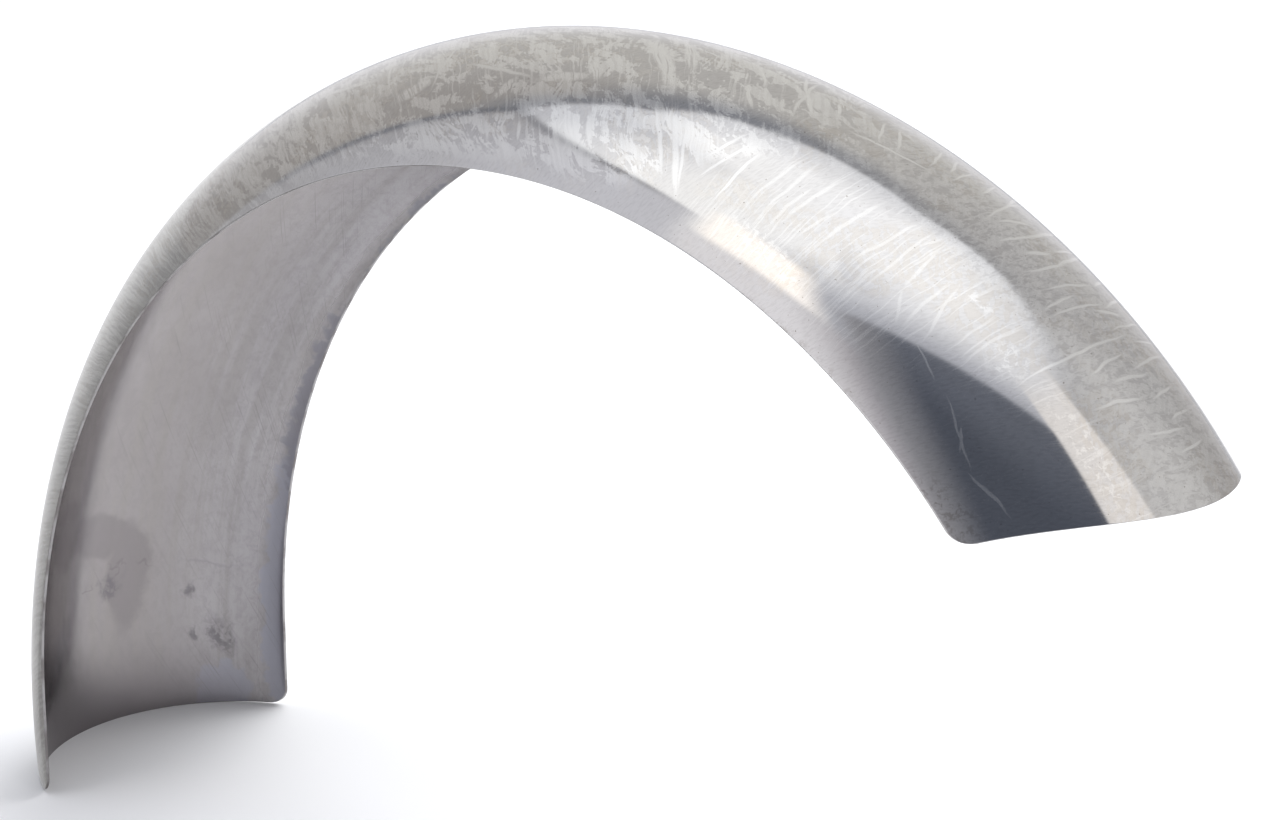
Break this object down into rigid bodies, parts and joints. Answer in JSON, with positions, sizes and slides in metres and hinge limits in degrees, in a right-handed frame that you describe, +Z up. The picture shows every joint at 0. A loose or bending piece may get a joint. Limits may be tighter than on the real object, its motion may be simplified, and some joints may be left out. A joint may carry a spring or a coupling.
{
  "type": "motorcycle rear fender",
  "caption": "Arched sheet-steel rear fender with a round crown, short skirts and trimmed ends, which covers the upper part of a motorcycle's rear wheel.",
  "frame": {"origin": "the centre of the crown's arc, where the wheel's axle lies, midway between the lips", "axes": "+Y along the wheel's axle, +X towards the tail, +Z up in the riding position"},
  "size_m": [0.612, 0.15, 0.3766],
  "materials": {
    "bare_steel": "bare rolled steel, polished to a satin, with an oily film, wipe marks and fine scratches"
  },
  "bodies": {
    "root": {"rear_fender": "bare_steel"}
  },
  "joints": []
}
